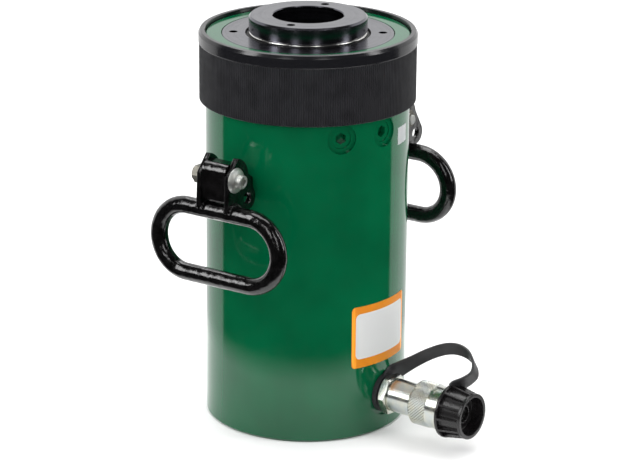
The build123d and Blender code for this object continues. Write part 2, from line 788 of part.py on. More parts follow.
# Dust cap: a ribbed moulding with a plug for the coupler's mouth
cap_end = cap_start + cap_length
cap_wall_end = cap_wall_start + cap_wall_thickness
cap_skirt_radius = sleeve_front_step_radius + sliding_gap
with BuildPart() as dust_cap:
    with BuildSketch(coupler_profile):
        with BuildLine():
            Polyline(
                (cap_start, cap_skirt_radius),
                (cap_start, cap_rim_radius),
                (cap_start + cap_rim_length, cap_rim_radius),
                (cap_start + cap_rim_length, cap_core_rear_radius),
                (cap_end - cap_front_length, cap_core_front_radius),
                (cap_end - cap_front_length, cap_front_radius),
                (cap_end, cap_front_radius),
                (cap_end, cap_recess_radius),
                (cap_wall_end, cap_recess_radius),
                (cap_wall_end, cap_boss_radius),
                (cap_wall_end + cap_boss_length, cap_boss_radius),
                (cap_wall_end + cap_boss_length, cap_plug_radius - cap_plug_wall),
                (cap_wall_end, cap_plug_radius - cap_plug_wall),
                (cap_wall_end, 0),
                (cap_wall_start, 0),
                (cap_wall_start, cap_plug_radius - cap_plug_wall),
                (cap_wall_start - cap_plug_length, cap_plug_radius - cap_plug_wall),
                (cap_wall_start - cap_plug_length, cap_plug_radius),
                (cap_wall_start, cap_plug_radius),
                (cap_wall_start, cap_skirt_radius),
                close=True,
            )
        make_face()
    revolve(axis=coupler_axis)
    for rib in range(cap_rib_count):
        rib_plane = Plane(
            origin=coupler_profile.origin,
            x_dir=coupler_profile.x_dir,
            z_dir=coupler_profile.z_dir.rotate(Axis.Y, rib * 360 / cap_rib_count),
        )
        with BuildSketch(rib_plane):
            with BuildLine():
                Polyline(
                    (cap_start + cap_rim_length, cap_core_rear_radius - cap_rib_root),
                    (cap_start + cap_rim_length, cap_rim_radius),
                    (cap_end - cap_front_length, cap_front_radius),
                    (cap_end - cap_front_length, cap_core_front_radius - cap_rib_root),
                    close=True,
                )
            make_face()
        extrude(amount=cap_rib_width / 2, both=True)
keep("dust_cap", dust_cap)

# Tether of the cap: a flat ring round the stem and a flat strap that arches over to the cap
strap_ring_hole = port_radius + strap_ring_hole_gap
with BuildPart() as strap_ring:
    with BuildSketch(coupler_plane(port_seat_distance + free_gap)):
        Circle(strap_ring_radius)
        Circle(strap_ring_hole, mode=Mode.SUBTRACT)
    extrude(amount=strap_ring_thickness)
keep("strap_ring", strap_ring)
strap_start_distance = port_seat_distance + free_gap + strap_ring_thickness / 2 + strap_thickness / 2
strap_end_distance = cap_start + cap_rim_length / 2
strap_profile = Plane(
    origin=coupler_profile.origin,
    x_dir=coupler_profile.x_dir,
    z_dir=coupler_profile.z_dir.rotate(Axis.Y, strap_lean_angle),
)
with BuildPart() as cap_strap:
    with BuildSketch(strap_profile):
        with BuildLine():
            rise = ThreePointArc(
                (strap_start_distance, strap_ring_radius + strap_thickness / 2 + free_gap),
                (strap_start_distance + strap_rise_reach, strap_ring_radius + strap_rise_height),
                (strap_end_distance - strap_peak_setback, cap_rim_radius + strap_peak_rise),
            )
            ThreePointArc(
                rise @ 1,
                (strap_end_distance + strap_bow_reach, cap_rim_radius + strap_bow_rise),
                (strap_end_distance, cap_rim_radius + strap_thickness / 2 + free_gap),
            )
        trace(line_width=strap_thickness)
    extrude(amount=strap_width / 2, both=True)
keep("cap_strap", cap_strap)

os.makedirs("parts", exist_ok=True)
for piece in pieces:
    export_step(piece, f"parts/{piece.label}.step")
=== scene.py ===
"""Visual model of a single-acting hydraulic cylinder with a hollow plunger.

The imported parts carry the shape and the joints. This script dresses them: it gives every part its
finish, and replaces the ribbed, knurled, moulded and bent ones with finer meshes.
"""

import logging
import math
from dataclasses import dataclass
from enum import Enum
from typing import Any, ClassVar, Sequence

import bmesh
import bpy
from bmesh.types import BMesh
from bpy.types import ID, Material, Node, NodeSocket, NodeTree, Object
from mathutils import Matrix, Vector


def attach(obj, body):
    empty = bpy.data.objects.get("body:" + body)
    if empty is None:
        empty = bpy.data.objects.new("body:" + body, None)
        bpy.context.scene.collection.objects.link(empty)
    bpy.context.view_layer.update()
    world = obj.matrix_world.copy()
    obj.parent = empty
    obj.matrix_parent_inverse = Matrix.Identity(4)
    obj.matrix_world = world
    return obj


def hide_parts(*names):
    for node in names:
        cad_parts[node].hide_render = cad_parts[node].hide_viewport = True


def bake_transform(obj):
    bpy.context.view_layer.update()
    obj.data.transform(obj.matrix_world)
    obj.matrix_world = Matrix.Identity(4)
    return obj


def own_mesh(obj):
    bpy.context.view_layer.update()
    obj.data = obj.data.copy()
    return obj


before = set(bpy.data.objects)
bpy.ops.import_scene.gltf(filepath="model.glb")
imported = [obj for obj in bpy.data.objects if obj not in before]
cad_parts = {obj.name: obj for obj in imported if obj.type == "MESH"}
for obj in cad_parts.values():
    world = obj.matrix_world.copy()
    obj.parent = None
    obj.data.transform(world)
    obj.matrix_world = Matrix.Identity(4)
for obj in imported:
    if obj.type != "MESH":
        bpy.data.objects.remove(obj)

MM = 0.001
LOG = logging.getLogger("cylinder")

Point = tuple[float, float]

# Nearly all that a noise texture gives lies between these two values
NOISE_SPAN = (0.3, 0.7)


class Body(str, Enum):
    """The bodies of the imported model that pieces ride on."""

    CYLINDER = "cylinder"
    PLUNGER = "plunger"
    PROTECTOR = "thread_protector"
    LEFT_HANDLE = "left_handle"
    RIGHT_HANDLE = "right_handle"
    SLEEVE = "coupler_sleeve"
    CAP = "dust_cap"


class Side(Enum):
    """The two lifting handles, by the sign of the side of the body they hang on."""

    LEFT = -1
    RIGHT = 1

    @property
    def word(self) -> str:
        """The name that the handle's nodes start with."""
        return self.name.lower()

    @property
    def body(self) -> Body:
        """The body that this handle's pieces ride on."""
        return Body.LEFT_HANDLE if self is Side.LEFT else Body.RIGHT_HANDLE


# The cylinder stands upright, and the coupler points along -Y
BODY_RADIUS = 79.4
COUPLER_HEIGHT = 31.0
UPRIGHT = Matrix.Identity(4)
COUPLER = Matrix(((1, 0, 0, 0), (0, 0, -1, 0), (0, 1, 0, COUPLER_HEIGHT * MM), (0, 0, 0, 1)))


# Shader helpers


def linear(code: str) -> tuple[float, float, float, float]:
    """Turn an sRGB hex colour into linear colour.

    Args:
        code: Six hex digits, such as "00522F".

    Returns:
        Linear red, green, blue and an alpha of one.
    """
    channels = (int(code[i : i + 2], 16) / 255 for i in (0, 2, 4))
    return (*(c / 12.92 if c <= 0.04045 else ((c + 0.055) / 1.055) ** 2.4 for c in channels), 1.0)


def feed(tree: NodeTree, node: Node, feeds: dict[Any, Any]) -> None:
    """Set or link a node's inputs.

    Args:
        tree: The node tree that the node is in.
        node: The node.
        feeds: Each input's name or number, with its value or the output that feeds it.
    """
    for socket, value in feeds.items():
        if isinstance(value, NodeSocket):
            tree.links.new(value, node.inputs[socket])
        else:
            node.inputs[socket].default_value = value


def add(
    tree: NodeTree,
    kind: str,
    feeds: dict[Any, Any] | None = None,
    **settings: Any,
) -> Node:
    """Add a node to a tree.

    Args:
        tree: The node tree it goes in.
        kind: The node's type name, without "ShaderNode".
        feeds: What its inputs take, as in feed.
        **settings: Properties of the node itself.

    Returns:
        The new node.
    """
    node = tree.nodes.new("ShaderNode" + kind)
    for name, value in settings.items():
        setattr(node, name, value)
    feed(tree, node, feeds or {})
    return node


def vector_math(tree: NodeTree, operation: str, *feeds: Any) -> NodeSocket:
    """The result of a vector operation on vectors or on outputs that give them."""
    node = add(tree, "VectorMath", dict(enumerate(feeds)), operation=operation)
    return node.outputs["Value" if operation in ("LENGTH", "DOT_PRODUCT") else "Vector"]


def surface(name: str) -> tuple[Material, NodeTree, Node]:
    """Start a material.

    Args:
        name: The finish's plain name.

    Returns:
        The material, its node tree and its Principled BSDF.
    """
    material = bpy.data.materials.new(name)
    material.use_nodes = True
    tree = material.node_tree
    tree.nodes.clear()
    shader = add(tree, "BsdfPrincipled")
    add(tree, "OutputMaterial", {"Surface": shader.outputs["BSDF"]})
    return material, tree, shader


def patches(
    tree: NodeTree,
    size: float,
    low: float,
    high: float,
    detail: float = 2.0,
    place: NodeSocket | None = None,
) -> NodeSocket:
    """A value that wanders between two levels in soft patches.

    Args:
        tree: The node tree it goes in.
        size: The patches' width in mm.
        low: The lower level.
        high: The higher level.
        detail: Octaves of finer noise.
        place: What places the patches; the object's own coordinates when left out.

    Returns:
        The value, with most of its range between the two levels.
    """
    place = place or add(tree, "TexCoord").outputs["Object"]
    noise = add(tree, "TexNoise", {"Vector": place, "Scale": 1 / (size * MM), "Detail": detail})
    levels = {"Value": noise.outputs["Fac"], "To Min": low, "To Max": high}
    levels["From Min"], levels["From Max"] = NOISE_SPAN
    return add(tree, "MapRange", levels).outputs["Result"]


def mottle(tree: NodeTree, size: float, first: str, second: str) -> NodeSocket:
    """A colour that drifts between two hex colours in patches of a size in mm."""
    colours = {"Factor": patches(tree, size, 0, 1), 6: linear(first), 7: linear(second)}
    return add(tree, "Mix", colours, data_type="RGBA").outputs[2]


def raised(
    tree: NodeTree,
    size: float,
    depth: float,
    detail: float = 2.0,
    place: NodeSocket | None = None,
    under: NodeSocket | None = None,
) -> NodeSocket:
    """A relief of lumps of a real width and depth.

    Args:
        tree: The node tree it goes in.
        size: The lumps' width in mm.
        depth: Their depth in mm.
        detail: Octaves of finer noise.
        place: What places the lumps; the object's own coordinates when left out.
        under: The normal of a coarser relief below this one.

    Returns:
        The relief's normal.
    """
    height = patches(tree, size, 0, 1, detail, place)
    feeds = {"Height": height, "Distance": depth * MM, "Strength": 1.0}
    if under is not None:
        feeds["Normal"] = under
    return add(tree, "Bump", feeds).outputs["Normal"]


def lathe_coordinates(tree: NodeTree, center: Vector, along: int) -> NodeSocket:
    """Coordinates of a turned part: the distance from its axis and the place along it.

    Args:
        tree: The node tree they go in.
        center: A point of the axis.
        along: Which of X, Y and Z the axis runs along, from 0 to 2.

    Returns:
        A vector that is the same all the way round the axis.
    """
    place = add(tree, "TexCoord").outputs["Object"]
    moved = vector_math(tree, "SUBTRACT", place, center)
    across = [1.0, 1.0, 1.0]
    across[along] = 0.0
    radius = vector_math(tree, "LENGTH", vector_math(tree, "MULTIPLY", moved, across))
    parts = add(tree, "SeparateXYZ", {"Vector": moved})
    return add(tree, "CombineXYZ", {"X": radius, "Y": parts.outputs[along]}).outputs["Vector"]


# Finishes


class Finish:
    """A finish that pieces take. Each kind says what it feeds to its shader."""

    name: str
    made: ClassVar[dict[str, Material]] = {}

    def inputs(self, tree: NodeTree) -> dict[str, Any]:
        """What the shader's inputs take, by their names."""
        raise NotImplementedError

    @property
    def material(self) -> Material:
        """The finish's material, made the first time it is asked for.

        Returns:
            The one material that every piece with this finish shares.
        """
        if self.name not in self.made:
            material, tree, shader = surface(self.name)
            feed(tree, shader, self.inputs(tree))
            self.made[self.name] = material
        return self.made[self.name]


@dataclass(frozen=True)
class SprayedEnamel(Finish):
    """Two-part enamel sprayed on turned steel.

    It gives the eye a deep, even green with a hard shine, whose faint orange peel makes the edges
    of reflections waver, and slightly lighter clouds where the film is thinner.
    """

    name: str = "green_enamel"
    deep: str = "00472A"
    lit: str = "005433"
    cloud: float = 55.0
    smooth: float = 0.07
    rough: float = 0.12
    peel: float = 2.6
    peel_depth: float = 0.005

    def inputs(self, tree: NodeTree) -> dict[str, Any]:
        """The shader's inputs, by name."""
        return {
            "Base Color": mottle(tree, self.cloud, self.deep, self.lit),
            "Roughness": patches(tree, 9, self.smooth, self.rough),
            "Normal": raised(tree, self.peel, self.peel_depth),
            "IOR": 1.5,
        }


@dataclass(frozen=True)
class DippedEnamel(Finish):
    """Black gloss enamel, dipped thick over rough bar, plate and weld.

    It gives the eye a wet black with broken streaks of light: the film sags in soft waves a little
    under a centimetre long, and small pits of the rough steel still show through it.
    """

    name: str = "black_enamel"
    deep: str = "030303"
    lit: str = "0C0B0C"
    cloud: float = 6.0
    smooth: float = 0.07
    rough: float = 0.22
    sag: float = 8.0
    sag_depth: float = 0.36
    pit: float = 1.5
    pit_depth: float = 0.05

    def inputs(self, tree: NodeTree) -> dict[str, Any]:
        """The shader's inputs, by name."""
        sags = raised(tree, self.sag, self.sag_depth, 1.0)
        return {
            "Base Color": mottle(tree, self.cloud, self.deep, self.lit),
            "Roughness": patches(tree, 4, self.smooth, self.rough),
            "Normal": raised(tree, self.pit, self.pit_depth, under=sags),
            "Coat Weight": 0.4,
            "Coat Roughness": 0.05,
            "IOR": 1.5,
        }


@dataclass(frozen=True)
class TurnedMetal(Finish):
    """Turned or ground metal with its plating or film.

    It gives the eye the metal's own tint in soft clouds, and fine rings round its axis that draw
    reflections out across them. Real tool marks are near 0.1 mm apart and too fine to see here, so
    the rings are drawn coarser and shallower.
    """

    name: str
    first: str
    second: str
    smooth: float
    rough: float
    center: tuple[float, float, float] = (0.0, 0.0, 0.0)
    along: int = 2
    ring: float = 0.9
    ring_depth: float = 0.002
    cloud: float = 14.0

    def inputs(self, tree: NodeTree) -> dict[str, Any]:
        """The shader's inputs, by name."""
        turned = lathe_coordinates(tree, Vector(self.center) * MM, self.along)
        return {
            "Base Color": mottle(tree, self.cloud, self.first, self.second),
            "Metallic": 1.0,
            "Roughness": patches(tree, self.ring * 1.7, self.smooth, self.rough, place=turned),
            "Normal": raised(tree, self.ring, self.ring_depth, 3.0, turned),
        }


@dataclass(frozen=True)
class Grained(Finish):
    """A finish whose tint and sheen drift in patches over a fine grain."""

    name: str
    first: str
    second: str
    smooth: float
    rough: float
    cloud: float = 11.0
    sheen: float = 5.0
    grain: float = 0.7
    grain_depth: float = 0.01
    metallic: float = 0.0

    def inputs(self, tree: NodeTree) -> dict[str, Any]:
        """The shader's inputs, by name."""
        return {
            "Base Color": mottle(tree, self.cloud, self.first, self.second),
            "Metallic": self.metallic,
            "Roughness": patches(tree, self.sheen, self.smooth, self.rough, 3.0),
            "Normal": raised(tree, self.grain, self.grain_depth, 3.0),
            "IOR": 1.5,
        }


@dataclass(frozen=True)
class PlatedFastener(Grained):
    """Zinc plated cold-headed steel.

    It gives the eye a pale, nearly white sheen with a satin grain: the plating is rougher than a
    turned face, and dulls in small clouds.
    """

    cloud: float = 3.0
    sheen: float = 2.0
    grain: float = 0.9
    grain_depth: float = 0.012
    metallic: float = 1.0


@dataclass(frozen=True)
class Moulding(Grained):
    """Moulded plastic, rubber or film.

    It gives the eye one dyed colour all through, a sheen that varies in broad patches as the
    mould was polished, and a fine grain from its texture.
    """


@dataclass(frozen=True)
class Phosphate(Finish):
    """Manganese phosphate and oil on a steel sleeve, worn smooth on its turned band.

    It gives the eye a soft charcoal that hardly shines on the ribs, and an oily gloss from the band
    upwards, where hands and the lathe have polished it. The band is also painted darker: painted
    shade for the dark room that its gloss reflects.
    """

    name: str = "black_phosphate"
    first: str = "1B1B1F"
    second: str = "242428"
    cloud: float = 11.0
    # The band's darker colour is painted shade
    oiled: str = "131316"
    band_bottom: float = 302.9
    band_blend: float = 0.3

    def inputs(self, tree: NodeTree) -> dict[str, Any]:
        """What the shader's inputs take, on the ribs and on the band.

        Args:
            tree: The material's node tree.

        Returns:
            The value or output that each input takes, by its name.
        """
        place = add(tree, "TexCoord").outputs["Object"]
        height = add(tree, "SeparateXYZ", {"Vector": place}).outputs["Z"]
        below, above = self.band_bottom - self.band_blend, self.band_bottom + self.band_blend
        edge = {"Value": height, "From Min": below * MM, "From Max": above * MM}
        band = add(tree, "MapRange", edge).outputs["Result"]
        ribs, smooth = patches(tree, 5, 0.4, 0.52, 3.0), patches(tree, 7, 0.14, 0.24, 3.0)
        rib_colour = mottle(tree, self.cloud, self.first, self.second)
        # Above the band's bottom the colour turns darker: painted shade, not a different coating
        tints = {"Factor": band, 6: rib_colour, 7: linear(self.oiled)}
        shines = {"Factor": band, "A": ribs, "B": smooth}
        return {
            "Base Color": add(tree, "Mix", tints, data_type="RGBA").outputs[2],
            "Roughness": add(tree, "Mix", shines, data_type="FLOAT").outputs["Result"],
            "Normal": raised(tree, 0.8, 0.008, 3.0),
            "IOR": 1.5,
        }


@dataclass(frozen=True)
class PrintedVinyl(Finish):
    """A bare vinyl sticker: a white field inside an orange border, broader above and below.

    It gives the eye flat printed colours under a satin film that follows the wall's small waves.
    """

    name: str = "orange_and_white_vinyl"
    field: str = "F6F6F6"
    border: str = "FFA01C"
    width: float = 62.5
    height: float = 50.4
    left: float = 3.6
    right: float = 2.4
    header: float = 6.0
    footer: float = 7.1
    corner: float = 4.0

    def inputs(self, tree: NodeTree) -> dict[str, Any]:
        """What the shader's inputs take, over the sticker's UV map.

        Args:
            tree: The material's node tree; the map is in mm from the lower left corner.

        Returns:
            The value or output that each input takes, by its name.
        """
        span = ((self.left, self.width - self.right), (self.footer, self.height - self.header))
        middle = tuple((low + high) / 2 for low, high in span)
        straight = tuple((high - low) / 2 - self.corner for low, high in span)
        # Inside the field, the distance past its corners' centres is under their radius
        moved = vector_math(tree, "SUBTRACT", add(tree, "TexCoord").outputs["UV"], (*middle, 0))
        past = vector_math(tree, "SUBTRACT", vector_math(tree, "ABSOLUTE", moved), (*straight, 0))
        reach = vector_math(tree, "LENGTH", vector_math(tree, "MAXIMUM", past, (0, 0, 0)))
        inside = add(tree, "Math", {0: reach, 1: self.corner}, operation="LESS_THAN").outputs["Value"]
        print_colours = {"Factor": inside, 6: linear(self.border), 7: linear(self.field)}
        return {
            "Base Color": add(tree, "Mix", print_colours, data_type="RGBA").outputs[2],
            "Roughness": patches(tree, 4, 0.3, 0.4),
            "Normal": raised(tree, 3, 0.008),
        }


GREEN_ENAMEL = SprayedEnamel()
BLACK_ENAMEL = DippedEnamel()
BLACK_OXIDE = TurnedMetal("hot_black_oxide", "606067", "6A6A70", 0.16, 0.25, ring=1.3)
HARD_CHROME = TurnedMetal("ground_hard_chrome", "DCDCDC", "EAE8E4", 0.2, 0.25, ring=2.4, ring_depth=0.0003)
HONED_STEEL = TurnedMetal("honed_steel", "6E7076", "8A8C90", 0.14, 0.26)
SPRING_STEEL = TurnedMetal("drawn_spring_steel", "54565A", "74777B", 0.25, 0.4)
BRONZE = TurnedMetal("bearing_bronze", "9A6B3A", "B98A4E", 0.22, 0.34)
COUPLER_ZINC = TurnedMetal(
    "passivated_zinc",
    "C4CBCC",
    "DAD8C9",
    0.2,
    0.28,
    center=(0, 0, COUPLER_HEIGHT),
    along=1,
    ring=0.5,
    ring_depth=0.0006,
    cloud=8,
)
FASTENER_ZINC = PlatedFastener("bright_zinc", "CFD3D1", "E6E6DF", 0.46, 0.6)
# The nuts take a darker copy of the bolts' zinc
LOCK_NUT_ZINC = PlatedFastener("darker_zinc", "77756E", "8E8B82", 0.36, 0.5)
PROTECTOR_COAT = Phosphate()
CAP_PLASTIC = Moulding("moulded_polypropylene", "110F10", "171516", 0.24, 0.32, grain_depth=0.005)
TETHER_PLASTIC = Moulding("flexible_polyethylene", "262628", "303032", 0.38, 0.5)
NITRILE = Moulding("nitrile_rubber", "0D0D0D", "171717", 0.5, 0.65)
URETHANE = Moulding("amber_urethane", "A97B24", "C2933A", 0.25, 0.38)
STICKER = PrintedVinyl()
FOIL = Moulding("silvered_film", "D5D8DA", "E4E6E7", 0.3, 0.4, grain=2.0, grain_depth=0.006)


# Mesh helpers


def place_in_scene(name: str, data: ID) -> Object:
    """Put a mesh, curve, light or camera in the scene.

    Args:
        name: The object's name.
        data: What the object is made of.

    Returns:
        The object.
    """
    thing = bpy.data.objects.new(name, data)
    bpy.context.scene.collection.objects.link(thing)
    return thing


def lathe(profile: Sequence[Point], steps: int) -> BMesh:
    """Spin a closed profile round +Z.

    Args:
        profile: Radius and height of each corner, in mm.
        steps: How many facets go round.

    Returns:
        The turned mesh in metres, its faces outward.
    """
    bm = bmesh.new()
    corners = [bm.verts.new((radius * MM, 0, height * MM)) for radius, height in profile]
    edges = [bm.edges.new(ends) for ends in zip(corners, corners[1:] + corners[:1])]
    bmesh.ops.spin(
        bm,
        geom=corners + edges,
        cent=(0, 0, 0),
        axis=(0, 0, 1),
        dvec=(0, 0, 0),
        angle=math.tau,
        space=UPRIGHT,
        steps=steps,
        use_merge=True,
        use_normal_flip=False,
        use_duplicate=False,
    )
    bmesh.ops.remove_doubles(bm, verts=bm.verts, dist=1e-7)
    bmesh.ops.recalc_face_normals(bm, faces=bm.faces)
    return bm


def soften(bm: BMesh, width: float, segments: int, limit: float = 28.0) -> None:
    """Round every edge that is sharper than a limit.

    Args:
        bm: The mesh to change.
        width: The rounding's width in mm.
        segments: Faces across it.
        limit: The least angle between faces, in degrees, that counts as an edge.
    """
    sharp = [e for e in bm.edges if len(e.link_faces) == 2 and e.calc_face_angle() > math.radians(limit)]
    bmesh.ops.bevel(
        bm,
        geom=sharp,
        offset=width * MM,
        offset_type="OFFSET",
        segments=segments,
        profile=0.5,
        affect="EDGES",
        material=-1,
        clamp_overlap=True,
    )


def piece(
    bm: BMesh,
    name: str,
    body: Body | None,
    finish: Finish,
    replaces: Sequence[str] = (),
    place: Matrix = UPRIGHT,
    limit: float = 32.0,
) -> Object:
    """Finish a mesh as a piece of the object.

    Args:
        bm: The piece's mesh, which is used up.
        name: The piece's name.
        body: The body it rides on, or None where it rides on no body.
        finish: The finish it takes.
        replaces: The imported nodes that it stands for.
        place: Where it goes.
        limit: The angle in degrees past which an edge stays crisp.

    Returns:
        The piece's object.
    """
    bm.transform(place)
    mesh = bpy.data.meshes.new(name)
    bm.to_mesh(mesh)
    bm.free()
    mesh.shade_smooth()
    mesh.set_sharp_from_angle(angle=math.radians(limit))
    thing = place_in_scene(name, mesh)
    mesh.materials.append(finish.material)
    thing.modifiers.new("flat faces stay flat", "WEIGHTED_NORMAL").keep_sharp = True
    if replaces:
        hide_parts(*replaces)
    if body is not None:
        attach(thing, body.value)
    LOG.info("%s: %d faces", name, len(mesh.polygons))
    return thing


def dress(finish: Finish, *nodes: str) -> None:
    """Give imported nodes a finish.

    Args:
        finish: The finish they take.
        *nodes: The nodes' names.
    """
    for node in nodes:
        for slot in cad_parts[node].material_slots:
            slot.material = finish.material
        LOG.info("%s: %s", node, finish.name)


def spread(start: float, end: float, steps: int) -> list[float]:
    """Evenly spaced values from the start to the end, both among them."""
    return [start + (end - start) * i / steps for i in range(steps + 1)]


def arc(center: Point, radius: float, start: float, end: float, steps: int) -> list[Point]:
    """Points of an arc, in the units of its radius; angles in degrees."""
    turns = (math.radians(turn) for turn in spread(start, end, steps))
    return [(center[0] + radius * math.cos(t), center[1] + radius * math.sin(t)) for t in turns]


def circle(center: Point, radius: float, facets: int) -> list[Point]:
    """Points of a whole circle, each of them once."""
    return arc(center, radius, 0, 360 - 360 / facets, facets - 1)


def arc_through(first: Point, middle: Point, last: Point, steps: int) -> list[Point]:
    """Points of the arc through three points.

    Args:
        first: Where it starts.
        middle: A point that it goes through.
        last: Where it ends.
        steps: How many stretches it is cut into.

    Returns:
        Its points, both ends among them.
    """
    (ax, ay), (bx, by), (cx, cy) = first, middle, last
    d = 2 * (ax * (by - cy) + bx * (cy - ay) + cx * (ay - by))
    a, b, c = ax * ax + ay * ay, bx * bx + by * by, cx * cx + cy * cy
    level = (a * (by - cy) + b * (cy - ay) + c * (ay - by)) / d
    height = (a * (cx - bx) + b * (ax - cx) + c * (bx - ax)) / d
    start, end = (math.degrees(math.atan2(y - height, x - level)) for x, y in (first, last))
    if start - end > 180:
        end += 360
    if end - start > 180:
        start += 360
    return arc((level, height), math.dist((level, height), first), start, end, steps)


def plate(
    outline: Sequence[Point],
    holes: Sequence[Sequence[Point]],
    thickness: float,
    edge: float,
) -> BMesh:
    """A flat plate with rounded edges, in the XY plane and centred on it.

    Args:
        outline: The plate's corners in mm.
        holes: The corners of each opening in it.
        thickness: Its thickness in mm.
        edge: The radius of its rounded edges in mm.

    Returns:
        The plate's mesh in metres.
    """
    curve = bpy.data.curves.new("plate", "CURVE")
    curve.dimensions = "2D"
    curve.fill_mode = "BOTH"
    curve.extrude = (thickness / 2 - edge) * MM
    curve.bevel_depth = edge * MM
    curve.bevel_resolution = 2
    curve.offset = -edge * MM
    for loop in (outline, *holes):
        spline = curve.splines.new("POLY")
        spline.points.add(len(loop) - 1)
        for point, (x, y) in zip(spline.points, loop):
            point.co = (x * MM, y * MM, 0, 1)
        spline.use_cyclic_u = True
    drawn = place_in_scene("plate", curve)
    mesh = bpy.data.meshes.new_from_object(drawn.evaluated_get(bpy.context.evaluated_depsgraph_get()))
    bm = bmesh.new()
    bm.from_mesh(mesh)
    bpy.data.objects.remove(drawn)
    bpy.data.curves.remove(curve)
    bpy.data.meshes.remove(mesh)
    bmesh.ops.remove_doubles(bm, verts=bm.verts, dist=1e-6)
    bmesh.ops.recalc_face_normals(bm, faces=bm.faces)
    return bm


def sweep(section: Sequence[Point], stations: Sequence[tuple[Matrix, float]]) -> BMesh:
    """Extrude a section through a row of stations.

    Args:
        section: The section's corners in mm, in each station's X and Y.
        stations: Each station's frame in mm, and how much wider than the section it is there.

    Returns:
        The closed mesh in metres.
    """
    bm = bmesh.new()

    def corner(index: int, frame_of: Matrix, widening: float) -> Vector:
        """Where a corner of the section stands at a station."""
        x, y = section[index]
        return frame_of @ Vector((x * widening, y, 0)) * MM

    loop = [bm.verts.new(corner(i, *stations[0])) for i in range(len(section))]
    front = bm.faces.new(loop)
    for station in stations[1:]:
        made = bmesh.ops.extrude_discrete_faces(bm, faces=[front])
        front = made["faces"][0]
        for index, vert in enumerate(front.verts):
            vert.co = corner(index, *station)
    bmesh.ops.recalc_face_normals(bm, faces=bm.faces)
    return bm


def weld_bead(
    middle: Vector,
    reach: float,
    turns: Sequence[float],
    radius: float,
    seed: float,
    sign: int = 1,
) -> BMesh:
    """A weld bead along part of a circle in the XY plane, a round section with uneven lumps.

    Args:
        middle: The circle's middle, in mm.
        reach: The circle's radius in mm.
        turns: The angle of each station from X, in degrees, evenly spaced.
        radius: The bead's mean radius in mm.
        seed: What makes its lumps unlike the next bead's.
        sign: Minus one where the circle is mirrored in X.

    Returns:
        The bead's mesh in metres.
    """
    angles = [math.radians(turn) for turn in turns]
    outward = [Vector((sign * math.cos(angle), math.sin(angle), 0)) for angle in angles]
    path = [out * reach + middle for out in outward]
    stations = []
    last = len(path) - 1
    for i, (spot, out) in enumerate(zip(path, outward)):
        ahead = (path[min(i + 1, last)] - path[max(i - 1, 0)]).normalized()
        lump = 0.84 + 0.14 * math.sin(i * 0.83 + seed) + 0.1 * math.sin(i * 1.9 + seed * 2.3)
        lump *= min(1.0, 0.35 + 0.3 * min(i, last - i))
        place = Matrix((out * lump, ahead.cross(out) * lump, ahead)).transposed().to_4x4()
        place.translation = spot
        stations.append((place, 1.0))
    return sweep(circle((0, 0), radius, 12), stations)


def shortening_spring(name: str, node: str) -> None:
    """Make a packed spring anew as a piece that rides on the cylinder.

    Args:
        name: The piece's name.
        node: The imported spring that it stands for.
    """
    bm = bmesh.new()
    bm.from_mesh(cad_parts[node].data)
    bmesh.ops.remove_doubles(bm, verts=bm.verts, dist=1e-7)
    coil = piece(bm, name, Body.CYLINDER, SPRING_STEEL, [node], limit=60)
    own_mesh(coil)


# Sub-assemblies


@dataclass
class ThreadProtector:
    """The black sleeve over the collar thread: fine upright ribs under a smooth bevelled band."""

    bottom: float = 257.5
    top: float = 313.0
    bore: float = 79.7
    ribs: int = 288
    rib_radius: float = 84.4
    rib_depth: float = 0.55
    band_radius: float = 84.9
    band_height: float = 10.0
    band_bevel: float = 2.4
    lip_radius: float = 83.2
    edge: float = 0.8

    def build(self) -> None:
        """Turn the sleeve with four facets to a rib, then sink two of each four into a groove."""
        under = self.top - self.band_height
        profile = (
            (self.bore, self.bottom),
            (self.rib_radius - self.edge - self.rib_depth, self.bottom),
            (self.rib_radius, self.bottom + self.edge),
            (self.rib_radius, under - 0.7),
            (self.rib_radius - self.rib_depth, under),
            (self.band_radius - 0.3, under),
            (self.band_radius, under + 0.5),
            (self.band_radius, self.top - self.band_bevel - 0.3),
            (self.band_radius - 0.25, self.top - self.band_bevel + 0.25),
            (self.lip_radius + 0.35, self.top - 0.25),
            (self.lip_radius - 0.2, self.top),
            (self.bore + 0.5, self.top),
            (self.bore, self.top - 0.5),
        )
        facets = self.ribs * 4
        bm = lathe(profile, facets)
        crest = (self.rib_radius - 0.01) * MM
        for vert in bm.verts:
            radius = vert.co.xy.length
            column = round(math.atan2(vert.co.y, vert.co.x) / math.tau * facets) % 4
            if column > 1 and radius > crest and vert.co.z < (under - 0.5) * MM:
                vert.co.xy *= 1 - self.rib_depth * MM / radius
        node = "thread_protector"
        piece(bm, "ribbed_protector", Body.PROTECTOR, PROTECTOR_COAT, [node], limit=24)


